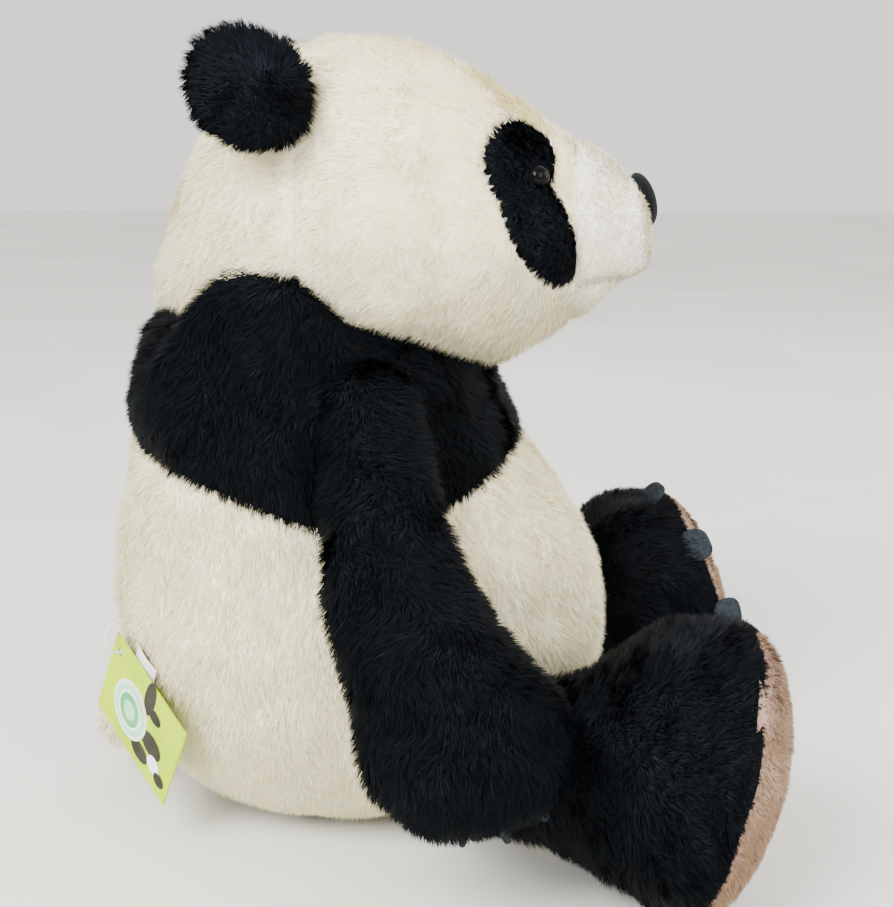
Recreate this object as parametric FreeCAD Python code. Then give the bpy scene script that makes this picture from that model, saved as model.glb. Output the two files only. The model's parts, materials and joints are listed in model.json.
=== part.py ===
import FreeCAD, Part
import math
import os

from FreeCAD import Matrix, Vector

# A sitting plush panda, about 340 mm tall, with a sewn-on head, arms, legs and ears.
# Millimetres. +Z is up, the panda faces -Y, and its own right side is -X.
# The origin is at the middle of the flat seat.

# ---- cloth and clearances -------------------------------------------------------------
CLOTH = 2.5                 # plush cloth with its backing
ROOM = 0.5                  # room between soft pieces that move apart
FIT = 0.02                  # room between pieces that lie together

# ---- torso: rings from the seat up ----------------------------------------------------
# height, front, back, half width
TORSO_RINGS = [
    (0, -52, 42, 36),
    (3, -66, 59, 47),
    (8, -79, 73, 58),
    (20, -93, 87, 73),
    (45, -108, 98, 88),
    (85, -116, 105, 96),
    (125, -105, 102, 90),
    (160, -83, 96, 82),
    (187, -68, 90, 73),
    (215, -58, 80, 64),
    (250, -46, 66, 52),
]
NECK = Vector(0, 14, 157)   # the head turns and nods about this point
NECK_BALL = 88.0            # radius of the rounded top of the torso
NECK_CUT_Z = 186.0
NECK_CORE = 30.0            # radius of the firm filling in the neck
NECK_CORE_Z = 172.0

# the black yoke's lower edge: a V on each flank, deepest under the arm
YOKE_LOW = (-24, 135)       # y, z of the deepest point
YOKE_FRONT_SLOPE = 0.55
YOKE_BACK_SLOPE = 0.30

PELLET_BAG = (44, 52, 15)   # half width, half depth, half height
PELLET_BAG_Z = 21.0

# ---- head: rings from the back of the skull to the tip of the muzzle -------------------
# y, top, bottom, half width
HEAD_RINGS = [
    (79, 240, 226, 9),
    (74, 259, 214, 28),
    (60, 285, 205, 50),
    (36, 311, 200, 66),
    (12, 327, 198, 73),
    (-13, 331, 197, 75),
    (-38, 328, 196, 72),
    (-62, 316, 195, 64),
    (-80, 303, 200, 54),
    (-96, 293, 209, 45),
    (-112, 285, 218, 38),
    (-125, 275, 227, 29),
    (-132, 264, 237, 16),
]
BACK_SEAM_Y = 10.0          # side seam between the face and the back of the head
MUZZLE_SEAM_Y = -98.0
MOUTH_Z = 231.0             # height of the mouth line where it starts
MOUTH_RISE = 5.0            # degrees
MOUTH_THREAD = 1.2

EYE = Vector(-47.5, -82, 276)
EYE_R = 5.5
EYE_SHANK_R = 1.6
EYE_SHANK_LENGTH = 12.0
EYE_WASHER = (6.5, 1.5)     # radius, thickness
EYE_AIM = Vector(-0.82, -0.52, 0.24)
PATCH = (-80, 266)          # y, z of the middle of an eye patch
PATCH_SIZE = (33, 14.5)     # half length, half width
PATCH_TILT = 17.0           # degrees, lower end forward

NOSE = Vector(0, -128.5, 264)
NOSE_SIZE = (16, 8, 11.5)

EAR_ROOT = Vector(-61, 3, 306)
EAR_ALONG = Vector(0.45, 0.10, 0.89)
EAR_OUT = Vector(-0.38, 0.90, 0.20)
EAR_R = 27.0
EAR_THICK = 7.0

# ---- arm (right; the left one is its mirror image) ------------------------------------
SHOULDER = Vector(-72, -19, 188)
SHOULDER_BALL = 16.0
# x, y, z, half thickness, half width, lean of the arm in degrees (forward of straight down)
ARM_RINGS = [
    (-79, -19, 183, 13, 14, 0),
    (-91, -21, 172, 15, 18, 5),
    (-105, -25, 150, 18, 22, 9),
    (-115, -32, 124, 21, 27, 20),
    (-125, -44, 97, 24, 34, 26),
    (-132, -55, 70, 24, 37, 22),
    (-134, -61, 49, 19, 31, 16),
    (-135, -63, 39, 9, 16, 12),
]
PAW = Vector(-132, -58, 66)
PAW_R = 30.0
PAW_CLAWS = [-8, 20, 48, 76, 104]

# ---- leg (right) ----------------------------------------------------------------------
HIP = Vector(-66, -44, 46)
LEG_SPLAY = 17.0            # the foot points this far outwards
LEG_LIFT = 20.0
# x, y, z, half width, half height, heading and forward tilt in degrees
RIGHT_LEG = [
    (-62, -34, 45, 22, 24, 40, 0),
    (-74, -54, 46, 26, 28, 32, 0),
    (-84, -78, 48, 28, 31, 20, 3),
    (-90, -100, 52, 33, 37, 13, 7),
    (-95, -119, 56, 45, 49, 8, 11),
    (-101, -137, 57.3, 54, 56, 6, 14),
    (-108, -152, 56.4, 56, 57.5, 5, 15),
]
# the left leg, written as if it were on the right
LEFT_LEG = [
    (-62, -34, 45, 22, 24, 40, 0),
    (-74, -54, 46, 26, 28, 32, 0),
    (-84, -78, 48, 28, 31, 24, -3),
    (-89, -101, 52, 33, 37, 20, -6),
    (-94, -121, 56, 45, 49, 17, -9),
    (-99, -141, 57.5, 54, 56, 16, -11),
    (-104, -159, 56.4, 57, 57, 15, -12),
]
SOLE_DOME = 17.0
TOE_CLAW = (17.0, 14.0, 2.6)     # width, length, thickness of a felt claw
PAW_CLAW = (12.0, 13.0, 2.6)
CLAW_SUNK = 4.0
TOE_CLAW_BACK = 2.0
TOE_CLAWS = [20, 54, 88, 122, 153]   # degrees from the top of the sole towards the middle

# ---- tail, label and swing tag --------------------------------------------------------
TAIL = Vector(0, 98, 30)
TAIL_SIZE = (22, 20, 17)
TAG_CORNER = Vector(-48.5, 91.5, 87)
TAG_OUT = Vector(-0.68, 0.733, 0)
TAG_SIZE = (60.0, 44.0, 0.8)
TAG_TURN = 29.0
TAG_HOLE_IN = 6.0
TAG_HOLE_R = 2.0
STICKER = (13.5, 0.4)
LOOP_R = 7.0
LOOP_WIRE = 0.6
LABEL_SIZE = (16.0, 22.0, 0.7)

X = Vector(1, 0, 0)
Y = Vector(0, 1, 0)
Z = Vector(0, 0, 1)
ORIGIN = Vector(0, 0, 0)
BIG = 600.0
RING_POINTS = 12            # points that each soft outline is drawn through


# ---- shapes ---------------------------------------------------------------------------
def frame(centre, u, v, a=1.0, b=1.0, c=1.0):
    """The matrix that takes x, y, z to a*u, b*v and c*w at centre."""
    w = u.cross(v)
    return Matrix(a * u.x, b * v.x, c * w.x, centre.x,
                  a * u.y, b * v.y, c * w.y, centre.y,
                  a * u.z, b * v.z, c * w.z, centre.z,
                  0, 0, 0, 1)


def ring(centre, u, v, a, b):
    """A smooth closed curve round an ellipse with half axes a along u and b along v."""
    points = []
    for step in range(RING_POINTS):
        angle = 2 * math.pi * step / RING_POINTS
        points.append(centre + u * (a * math.cos(angle)) + v * (b * math.sin(angle)))
    curve = Part.BSplineCurve()
    curve.interpolate(points, PeriodicFlag=True)
    return Part.Wire(curve.toShape())


def unit(vector):
    length = vector.Length
    return Vector(vector.x / length, vector.y / length, vector.z / length)


def ellipsoid(centre, u, v, a, b, c):
    ball = Part.makeSphere(1.0)
    return ball.transformGeometry(frame(centre, u, v, a, b, c))


def sphere(centre, radius):
    return Part.makeSphere(radius, centre)


def loft(rings):
    return Part.makeLoft(rings, True, False)


def block(low, high):
    size = high - low
    return Part.makeBox(size.x, size.y, size.z, low)


def prism(points_yz, x_from, x_to):
    """A polygon in the y-z plane, drawn out along x."""
    points = [Vector(x_from, y, z) for y, z in points_yz]
    face = Part.Face(Part.makePolygon(points + [points[0]]))
    return face.extrude(Vector(x_to - x_from, 0, 0))


def turned(shape, centre, axis, degrees):
    copy = shape.copy()
    copy.rotate(centre, axis, degrees)
    return copy


def mirrored(shape):
    return shape.mirror(ORIGIN, X)


def heading(degrees):
    """A level direction, turned from straight ahead towards the panda's right."""
    angle = math.radians(degrees)
    return Vector(-math.sin(angle), -math.cos(angle), 0)


def tab(centre, across, along, size, sunk):
    """A flat felt claw with a rounded tip; its root is sunk behind centre."""
    width, length, thick = size
    half = width / 2.0
    straight = length - sunk - half
    plate = Part.makeBox(width, straight + sunk, thick, Vector(-half, -sunk, -thick / 2))
    tip = Part.makeCylinder(half, thick, Vector(0, straight, -thick / 2), Z)
    shape = plate.fuse(tip).removeSplitter()
    placed = FreeCAD.Placement(frame(centre, across, along))
    shape.Placement = placed
    return shape


def only_solid(shape):
    """The largest solid of a shape."""
    return max(shape.Solids, key=lambda solid: solid.Volume)


# ---- torso ----------------------------------------------------------------------------
def torso_form(inset):
    rings = []
    for height, front, back, half_width in TORSO_RINGS:
        depth = (back - front) / 2.0 - inset
        middle = Vector(0, (front + back) / 2.0, height)
        if height == TORSO_RINGS[0][0]:
            middle.z += inset
        rings.append(ring(middle, X, Y, half_width - inset, depth))
    form = loft(rings)
    above = block(Vector(-BIG, -BIG, NECK_CUT_Z), Vector(BIG, BIG, BIG))
    return form.cut(above.cut(sphere(NECK, NECK_BALL - inset)))


def yoke_zone():
    """Everything above the V-shaped seam."""
    y, z = YOKE_LOW
    return prism([(y, z), (BIG, z + YOKE_BACK_SLOPE * (BIG - y)), (BIG, 2 * BIG),
                  (-BIG, 2 * BIG), (-BIG, z + YOKE_FRONT_SLOPE * (BIG + y))], -BIG, BIG)


def make_torso():
    outer = torso_form(0.0)
    inner = torso_form(CLOTH)
    core_top = sphere(NECK, NECK_BALL - CLOTH)
    core = Part.makeCylinder(NECK_CORE, 100, Vector(NECK.x, NECK.y, NECK_CORE_Z), Z)
    core_room = Part.makeCylinder(NECK_CORE + ROOM, 101,
                                  Vector(NECK.x, NECK.y, NECK_CORE_Z - ROOM), Z)
    sockets = sphere(SHOULDER, SHOULDER_BALL + ROOM)
    sockets = sockets.fuse(mirrored(sockets))
    shell = outer.cut(inner).cut(core_room).cut(sockets)
    bag = ellipsoid(Vector(0, -5, PELLET_BAG_Z), X, Y, *PELLET_BAG)
    bag_room = ellipsoid(Vector(0, -5, PELLET_BAG_Z), X, Y, *[s + FIT for s in PELLET_BAG])
    filling = inner.cut(core_room).cut(sockets).cut(bag_room)
    top = yoke_zone()
    return {
        "torso_cover": only_solid(shell.cut(top)),
        "yoke_cover": only_solid(shell.common(top)),
        "torso_stuffing": only_solid(filling),
        "pellet_bag": bag,
        "neck_stuffing": core.common(core_top),
        "tail": only_solid(ellipsoid(TAIL, X, Y, *TAIL_SIZE).cut(torso_form(-FIT))),
    }


# ---- head -----------------------------------------------------------------------------
def head_form(inset):
    rings = []
    last = len(HEAD_RINGS) - 1
    for index, (y, top, bottom, half_width) in enumerate(HEAD_RINGS):
        centre = Vector(0, y, (top + bottom) / 2.0)
        if index == 0:
            centre.y -= inset
        if index == last:
            centre.y += inset
        half_height = (top - bottom) / 2.0
        rings.append(ring(centre, X, Z, half_width - inset, half_height - inset))
    return loft(rings)


def patch_zone(grow):
    """The oval column, along x, that an eye patch is cut from."""
    tilt = math.radians(PATCH_TILT)
    along = Vector(0, -math.sin(tilt), -math.cos(tilt))
    across = Vector(0, math.cos(tilt), -math.sin(tilt))
    outline = ring(Vector(-BIG, *PATCH), along, across, PATCH_SIZE[0] + grow,
                   PATCH_SIZE[1] + grow)
    return Part.Face(outline).extrude(Vector(BIG - 20, 0, 0))


def make_eye():
    aim = unit(EYE_AIM)
    inwards = aim * -1.0
    radius, thick = EYE_WASHER
    ball = sphere(EYE, EYE_R)
    shank = Part.makeCylinder(EYE_SHANK_R, EYE_SHANK_LENGTH, EYE, inwards)
    seat = EYE + inwards * (EYE_R + CLOTH + 0.5)
    washer = Part.makeCylinder(radius, thick, seat, inwards)
    hole = Part.makeCylinder(EYE_SHANK_R + FIT, thick, seat, inwards)
    return ball.fuse(shank), washer.cut(hole)


def make_head():
    outer = head_form(0.0)
    inner = head_form(CLOTH)
    neck_room = sphere(NECK, NECK_BALL + ROOM)
    shell = outer.cut(inner).cut(neck_room)
    back_zone = block(Vector(-BIG, BACK_SEAM_Y, 0), Vector(BIG, BIG, BIG))
    muzzle_zone = block(Vector(-BIG, -BIG, 0), Vector(BIG, MUZZLE_SEAM_Y, BIG))
    start = Vector(0, MUZZLE_SEAM_Y, MOUTH_Z)
    below = turned(block(Vector(-BIG, MUZZLE_SEAM_Y - BIG, MOUTH_Z - BIG),
                         Vector(BIG, MUZZLE_SEAM_Y + BIG, MOUTH_Z)), start, X, -MOUTH_RISE)
    above = turned(block(Vector(-BIG, MUZZLE_SEAM_Y - BIG, MOUTH_Z + MOUTH_THREAD),
                         Vector(BIG, MUZZLE_SEAM_Y + BIG, MOUTH_Z + BIG)),
                   start, X, -MOUTH_RISE)
    front = shell.common(muzzle_zone)
    eye, washer = make_eye()
    eyes = eye.fuse(mirrored(eye))
    washers = washer.fuse(mirrored(washer))
    zone = patch_zone(0.0)
    zones = zone.fuse(mirrored(zone))
    middle = shell.cut(back_zone).cut(muzzle_zone)
    patches = [middle.common(zone).cut(eye), middle.common(mirrored(zone)).cut(mirrored(eye))]
    nose = only_solid(ellipsoid(NOSE, X, Y, *NOSE_SIZE).cut(head_form(-FIT)))
    filling = inner.cut(sphere(NECK, NECK_BALL + ROOM)).cut(eyes).cut(washers)
    return {
        "face_cover": only_solid(middle.cut(zones).cut(eyes)),
        "back_head_cover": only_solid(shell.common(back_zone)),
        "muzzle_cover": only_solid(front.common(above)),
        "chin_cover": only_solid(front.common(below)),
        "mouth_stitching": only_solid(front.cut(above).cut(below)),
        "head_stuffing": only_solid(filling),
        "nose": nose,
        "eye_right": eye,
        "eye_left": mirrored(eye),
        "eye_washer_right": washer,
        "eye_washer_left": mirrored(washer),
        "eye_patch_right": only_solid(patches[0]),
        "eye_patch_left": only_solid(patches[1]),
    }


def make_ear():
    """A flat disc of two plush pieces, split through the middle of its thickness."""
    along = unit(EAR_ALONG)
    out = unit(EAR_OUT - along * EAR_OUT.dot(along))
    centre = EAR_ROOT + out * EAR_R
    disc = ellipsoid(centre, out, along, EAR_R, EAR_R, EAR_THICK)
    front = Part.makeBox(BIG, BIG, BIG, Vector(-BIG / 2, -BIG / 2, 0))
    front.Placement = FreeCAD.Placement(frame(centre, out, along)).multiply(front.Placement)
    return {
        "ear_front_right": only_solid(disc.common(front)),
        "ear_back_right": only_solid(disc.cut(front)),
    }


# ---- arm ------------------------------------------------------------------------------
def arm_form(inset):
    rings = []
    for x, y, z, thick, width, lean in ARM_RINGS:
        angle = math.radians(lean)
        across = Vector(0, -math.cos(angle), math.sin(angle))
        rings.append(ring(Vector(x, y, z), X, across, thick - inset, width - inset))
    return loft(rings)


def arm_side_room(grow):
    """What the flank sweeps, seen from the arm, as the arm swings about the shoulder."""
    points = [Vector(0, SHOULDER.y, SHOULDER.z)]
    for height, front, back, half_width in reversed(TORSO_RINGS):
        reach = SHOULDER.z - height
        if reach > 0 and height >= 85:
            points.append(Vector(-(half_width + grow), SHOULDER.y, SHOULDER.z - reach))
    widest = points[-1]
    points.append(Vector(widest.x, SHOULDER.y, SHOULDER.z - 170))
    points.append(Vector(0, SHOULDER.y, SHOULDER.z - 170))
    face = Part.Face(Part.makePolygon(points + [points[0]]))
    return face.revolve(SHOULDER, X, 360)


def paw_claws():
    claws = []
    for degrees in PAW_CLAWS:
        angle = math.radians(degrees)
        along = Vector(0, -math.sin(angle), -math.cos(angle))
        root = PAW + along * PAW_R
        claws.append(tab(root, X, along, PAW_CLAW, CLAW_SUNK))
    return Part.makeCompound(claws)


def make_arm():
    """A hanging arm, and the ball of filling that its root turns on."""
    socket = sphere(SHOULDER, SHOULDER_BALL + ROOM)
    flank = arm_side_room(ROOM)
    outer = arm_form(0.0)
    inner = arm_form(CLOTH)
    claws = paw_claws().cut(inner)
    cover = outer.cut(inner).cut(flank).cut(socket).cut(claws)
    filling = inner.cut(flank).cut(socket)
    return {
        "arm_cover_right": only_solid(cover),
        "arm_stuffing_right": only_solid(filling),
        "arm_root_stuffing_right": sphere(SHOULDER, SHOULDER_BALL),
        "paw_claws_right": claws,
    }


# ---- leg ------------------------------------------------------------------------------
def foot_axes(degrees, tilt):
    """Across, up and ahead for a foot that points this way, its top leaning forward."""
    level, lean = heading(degrees), math.radians(tilt)
    upright = Z * math.cos(lean) + level * math.sin(lean)
    across = Z.cross(level)
    return across, upright, across.cross(upright)


def leg_form(rings, inset):
    outlines = []
    for x, y, z, half_width, half_height, degrees, tilt in rings:
        across, upright, ahead = foot_axes(degrees, tilt)
        outlines.append(ring(Vector(x, y, z), across, upright, half_width - inset,
                             half_height - inset))
    return loft(outlines)


def torso_sweep():
    """The torso as a lifting leg meets it, with room to spare."""
    torso = torso_form(-ROOM)
    axis = heading(LEG_SPLAY).cross(Z)
    steps = [0.0, 0.35, 0.7, 1.05]
    return [turned(torso, HIP, axis, -LEG_LIFT * step) for step in steps]


def toe_claws(rings):
    x, y, z, half_width, half_height, degrees, tilt = rings[-1]
    across, upright, ahead = foot_axes(degrees, tilt)
    rim = half_width + TOE_CLAW[2] / 2 - 1.5
    claws = []
    for turn in TOE_CLAWS:
        angle = math.radians(turn)
        out = across * math.sin(angle) + upright * math.cos(angle)
        root = Vector(x, y, z) + out * rim - ahead * TOE_CLAW_BACK
        claws.append(tab(root, out.cross(ahead), ahead, TOE_CLAW, CLAW_SUNK))
    return Part.makeCompound(claws)


def make_leg(rings):
    """A leg and its foot, as a right leg."""
    x, y, z, half_width, half_height, degrees, tilt = rings[-1]
    centre = Vector(x, y, z)
    across, upright, ahead = foot_axes(degrees, tilt)
    behind = Part.makeBox(BIG, BIG, BIG, Vector(-BIG / 2, -BIG / 2, -BIG))
    behind.Placement = FreeCAD.Placement(frame(centre, across, upright))
    outer = leg_form(rings, 0.0)
    inner = leg_form(rings, CLOTH)
    claws = toe_claws(rings)
    cover = outer.cut(inner)
    filling = inner
    for torso in torso_sweep():
        cover = cover.cut(torso)
        filling = filling.cut(torso)
    dome = ellipsoid(centre, across, upright, half_width, half_height, SOLE_DOME).cut(behind)
    hollow = ellipsoid(centre, across, upright, half_width - CLOTH, half_height - CLOTH,
                       SOLE_DOME - CLOTH).cut(behind)
    return {
        "leg_cover": only_solid(cover.cut(claws)),
        "leg_stuffing": only_solid(filling.cut(claws)),
        "sole": only_solid(dome.cut(hollow).cut(claws)),
        "toe_claws": claws,
    }


# ---- tag and label --------------------------------------------------------------------
def make_tag():
    out = unit(TAG_OUT)
    level = Z.cross(out)
    turn = math.radians(TAG_TURN)
    long_way = level * math.cos(turn) - Z * math.sin(turn)
    short_way = long_way.cross(out) * -1.0
    if short_way.z > 0:
        short_way = short_way * -1.0
    length, width, thick = TAG_SIZE
    corners = [TAG_CORNER]
    corners.append(TAG_CORNER + long_way * length)
    corners.append(corners[-1] + short_way * width)
    corners.append(TAG_CORNER + short_way * width)
    face = Part.Face(Part.makePolygon(corners + [corners[0]]))
    card = face.extrude(out * thick)
    pin = TAG_CORNER + long_way * TAG_HOLE_IN + short_way * TAG_HOLE_IN
    card = card.cut(Part.makeCylinder(TAG_HOLE_R, 3 * thick, pin - out * thick, out))
    middle = TAG_CORNER + long_way * (length * 0.38) + short_way * (width * 0.55)
    radius, height = STICKER
    sticker = Part.makeCylinder(radius, height, middle + out * thick, out)
    loop_centre = pin + Z * LOOP_R + out * (thick / 2)
    loop = Part.makeTorus(LOOP_R, LOOP_WIRE, loop_centre, level)
    label_top = TAG_CORNER + level * 22 + out + Z * 2
    label_width, label_length, label_thick = LABEL_SIZE
    label_corners = [label_top, label_top + level * label_width,
                     label_top + level * label_width - Z * label_length,
                     label_top - Z * label_length]
    label_face = Part.Face(Part.makePolygon(label_corners + [label_top]))
    return {
        "swing_tag": card,
        "tag_sticker": sticker,
        "tag_fastener": loop,
        "care_label": label_face.extrude(out * label_thick),
    }, pin


# ---- everything -----------------------------------------------------------------------
def both_sides(pieces):
    named = dict(pieces)
    for name, shape in pieces.items():
        named[name.replace("_right", "_left")] = mirrored(shape)
    return named


def make_all():
    pieces = make_torso()
    pieces.update(make_head())
    pieces.update(both_sides(make_ear()))
    pieces.update(both_sides(make_arm()))
    for name, shape in make_leg(RIGHT_LEG).items():
        pieces[name + "_right"] = shape
    for name, shape in make_leg(LEFT_LEG).items():
        pieces[name + "_left"] = mirrored(shape)
    tag_pieces, pin = make_tag()
    for sewn_in in ("tag_fastener", "care_label"):
        for layer in ("torso_cover", "torso_stuffing"):
            pieces[layer] = only_solid(pieces[layer].cut(tag_pieces[sewn_in]))
    pieces.update(tag_pieces)
    print("tag hinge", [round(value, 2) for value in pin])
    return pieces


def main():
    os.makedirs("parts", exist_ok=True)
    for name, shape in sorted(make_all().items()):
        assert shape.isValid() and shape.Volume > 0, name
        print(name, round(shape.Volume), len(shape.Solids))
        shape.exportStep("parts/" + name + ".step")


main()
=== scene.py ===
import json
import math

import bmesh
import bpy
import numpy as np
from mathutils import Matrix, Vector
from mathutils.kdtree import KDTree


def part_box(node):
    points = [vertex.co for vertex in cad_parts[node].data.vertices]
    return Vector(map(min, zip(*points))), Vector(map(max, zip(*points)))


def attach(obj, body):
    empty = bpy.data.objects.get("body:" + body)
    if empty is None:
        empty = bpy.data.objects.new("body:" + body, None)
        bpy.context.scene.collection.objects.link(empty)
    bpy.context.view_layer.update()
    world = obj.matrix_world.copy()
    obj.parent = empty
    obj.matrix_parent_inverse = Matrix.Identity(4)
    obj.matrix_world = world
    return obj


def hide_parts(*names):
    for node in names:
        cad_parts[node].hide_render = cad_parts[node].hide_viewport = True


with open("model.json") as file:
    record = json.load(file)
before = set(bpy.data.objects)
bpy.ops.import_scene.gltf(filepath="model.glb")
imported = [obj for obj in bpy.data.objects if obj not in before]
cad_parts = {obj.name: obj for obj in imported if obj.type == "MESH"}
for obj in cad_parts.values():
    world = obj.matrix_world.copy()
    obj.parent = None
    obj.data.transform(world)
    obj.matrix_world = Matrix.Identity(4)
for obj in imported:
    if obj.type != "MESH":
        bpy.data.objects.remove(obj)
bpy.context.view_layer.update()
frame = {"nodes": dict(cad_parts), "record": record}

# A sitting plush panda. Shapes are worked out in millimetres in the frame's own axes
# (+Z up, facing -Y, its right side at -X) and written to the meshes in metres.
MM = 0.001
PILE_SHARE = 1.0


# ---- places taken from the frame ----
def joint_place(name):
    """Where a joint turns, and its axis, in millimetres."""
    found = next(j for j in frame["record"]["behaviour"]["joints"] if j["name"] == name)
    return np.array(found["pos_m"]) / MM, np.array(found["axis"], float)


def node_middle(node):
    """The middle of a CAD node's box, in millimetres."""
    low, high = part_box(node)
    return (np.array(low) + np.array(high)) / 2 / MM


NECK, _ = joint_place("neck_nod")
EAR_ROOT, EAR_ALONG = joint_place("ear_fold_right")
TAG_PIN, TAG_OUT = joint_place("tag_swing")

# ---- driving shapes, in millimetres ----
CLOTH = 1.5                  # plush backing, as it is drawn
NECK_BALL = 88.0             # the ball about the neck that the head sits on
# height, front, back, half width, squareness
TORSO_RINGS = [
    (2.5, -50, 38, 34, 2.0),
    (6, -66, 56, 48, 2.0),
    (12, -78, 69, 59, 2.05),
    (24, -92, 83, 73, 2.1),
    (46, -106, 93, 86, 2.1),
    (84, -113, 98.5, 93, 2.1),
    (124, -103, 97, 88, 2.1),
    (158, -81, 92, 81, 2.15),
    (186, -66, 88, 76, 2.2),
    (206, -61, 85, 74, 2.2),
    (222, -54, 80, 74, 2.1),
    (234, -44, 72, 73, 2.0),
    (243, -36, 62, 69, 2.0),
]
# the shoulders' hump behind the cheeks: where along Y, how wide, how high
HUMP = (29.0, 36.0, 20.0)
# the black yoke's seam: its lowest point, as y and z, and its slopes
YOKE_LOW = (-24, 135)
YOKE_FRONT_SLOPE = 0.55
YOKE_BACK_SLOPE = 0.30
# y, top, bottom, half width, squareness, fullness of the cheeks
HEAD_RINGS = [
    (71, 252, 216, 26, 2.0, 0.0),
    (60, 279, 206, 46, 2.1, 0.02),
    (38, 311, 199, 63, 2.15, 0.05),
    (12, 328, 197, 71, 2.2, 0.07),
    (-14, 328, 197, 73, 2.2, 0.08),
    (-38, 324, 197, 70, 2.15, 0.08),
    (-60, 314, 197, 62, 2.1, 0.06),
    (-78, 301, 203, 52, 2.05, 0.03),
    (-94, 291, 212, 43, 2.0, 0.0),
    (-110, 283, 221, 36, 2.05, 0.0),
    (-122, 274, 229, 29, 2.1, 0.0),
]
NOSE_AT = (0.0, -127.3, 264.5)
BACK_SEAM_Y = 10.0
MUZZLE_SEAM_Y = -98.0
MOUTH_Z = 231.0
MOUTH_RISE = math.tan(math.radians(5.0))
STITCHES = 7
STITCH_GAP = 2.3
EYE_RADIUS = 5.0
PATCH_INNER = 27.0           # how near the middle an eye patch comes
# the two rounded lobes of an eye patch: y, z, half length, half width, tilt in degrees
PATCH_LOBES = [(-75.5, 281, 16, 13.5, 8), (-83.5, 256, 25, 11.5, 26)]
# x, y, z, half thickness, half width, lean in degrees
ARM_RINGS = [
    (-78, -19, 192, 14, 16, 0),
    (-89, -21, 173, 16, 19, 5),
    (-104, -25, 150, 19, 22.5, 9),
    (-115, -32, 124, 21, 27, 20),
    (-125, -44, 97, 23, 32.5, 26),
    (-132, -58, 74, 23, 38, 22),
    (-134, -63, 60, 20, 33, 16),
]
# x, y, z, half width, half height, heading and forward tilt in degrees
RIGHT_LEG = [
    (-66, -44, 46, 21, 24, 38, 0),
    (-74, -56, 46, 25, 28, 32, 0),
    (-84, -78, 48, 27, 30, 20, 3),
    (-90, -100, 52, 32, 36, 13, 7),
    (-95, -118, 56, 43, 47, 5, 11),
    (-101, -136, 57.3, 52, 54, 1, 13),
    (-108, -150, 56.8, 54, 55.5, -2, 14),
]
# the left leg, written as if it were on the right
LEFT_LEG = [
    (-66, -44, 46, 21, 24, 38, 0),
    (-74, -56, 46, 25, 28, 32, 0),
    (-84, -78, 48, 27, 30, 24, -3),
    (-89, -103, 52, 32, 36, 20, -6),
    (-94, -124, 56, 43, 47, 17, -9),
    (-99, -144, 57.3, 52, 54, 16, -11),
    (-104, -163, 56.8, 55, 55, 15, -12),
]
SOLE_DOMES = {"right": 22.0, "left": 11.0}
# angle from the top, how far back it is set, and how steeply it stands up, in degrees
TOE_CLAWS = {
    "right": [(20, 3, 0), (54, 3, 0), (88, 3, 0), (122, 3, 0), (153, 3, 0)],
    "left": [(6, 11, 48), (46, 5, 18), (84, 0, 4), (118, 2, 0), (150, 3, 0)],
}
# angles from straight down, and the middle of the paw they stand round
PAW_CLAWS = [-8, 20, 48, 76, 104]
PAW = np.array([-125.0, -60.0, 68.0])
TAG_TURN = math.radians(29.0)


# ---- small maths ----
def unit(vectors):
    vectors = np.asarray(vectors, float)
    length = np.linalg.norm(vectors, axis=-1, keepdims=True)
    return vectors / np.maximum(length, 1e-12)


def reversed_faces(faces):
    return [face[::-1] for face in faces]


def mirror_x(points):
    return points * np.array([-1.0, 1.0, 1.0])


def waves(points, size, seed, count=7):
    """Smooth wandering values, about -1 to 1, with this wavelength."""
    rng = np.random.default_rng(seed)
    total = np.zeros(len(points))
    for _ in range(count):
        wave = unit(rng.normal(size=3)) * (2 * math.pi / size) * rng.uniform(0.7, 1.5)
        total += np.sin(points @ wave + rng.uniform(0, 2 * math.pi))
    return total / math.sqrt(count)


def curve_through(rows, count):
    """Rows of numbers, spread evenly and smoothly along their first three columns."""
    rows = np.asarray(rows, float)
    gaps = np.linalg.norm(np.diff(rows[:, :3], axis=0), axis=1) + 0.15 * np.abs(
        np.diff(rows[:, 9]))
    at = np.concatenate([[0], np.cumsum(gaps)])
    slope = np.gradient(rows, at, axis=0)
    wanted = np.linspace(0, at[-1], count)
    index = np.clip(np.searchsorted(at, wanted, side="right") - 1, 0, len(at) - 2)
    width = at[index + 1] - at[index]
    t = ((wanted - at[index]) / width)[:, None]
    a, b = rows[index], rows[index + 1]
    ma, mb = slope[index] * width[:, None], slope[index + 1] * width[:, None]
    return ((2 * t**3 - 3 * t**2 + 1) * a + (t**3 - 2 * t**2 + t) * ma
            + (-2 * t**3 + 3 * t**2) * b + (t**3 - t**2) * mb)


# ---- rings: centre, u, v, half size along u, along v, squareness, fullness ----
def row(centre, u, v, a, b, square=2.0, full=0.0):
    return [*centre, *u, *v, a, b, square, full]


def torso_rows():
    rows = []
    for z, front, back, half_width, square in TORSO_RINGS:
        centre = (0, (front + back) / 2, z)
        rows.append(row(centre, (1, 0, 0), (0, 1, 0), half_width, (back - front) / 2, square))
    return rows


def head_rows():
    rows = []
    for y, top, bottom, half_width, square, full in HEAD_RINGS:
        centre = (0, y, (top + bottom) / 2)
        rows.append(row(centre, (1, 0, 0), (0, 0, 1), half_width, (top - bottom) / 2,
                        square, full))
    return rows


def arm_rows():
    rows = []
    for x, y, z, thick, width, lean in ARM_RINGS:
        angle = math.radians(lean)
        across = (0, -math.cos(angle), math.sin(angle))
        rows.append(row((x, y, z), (1, 0, 0), across, thick, width, 2.15))
    return rows


def heading(degrees):
    angle = math.radians(degrees)
    return np.array([-math.sin(angle), -math.cos(angle), 0.0])


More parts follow.
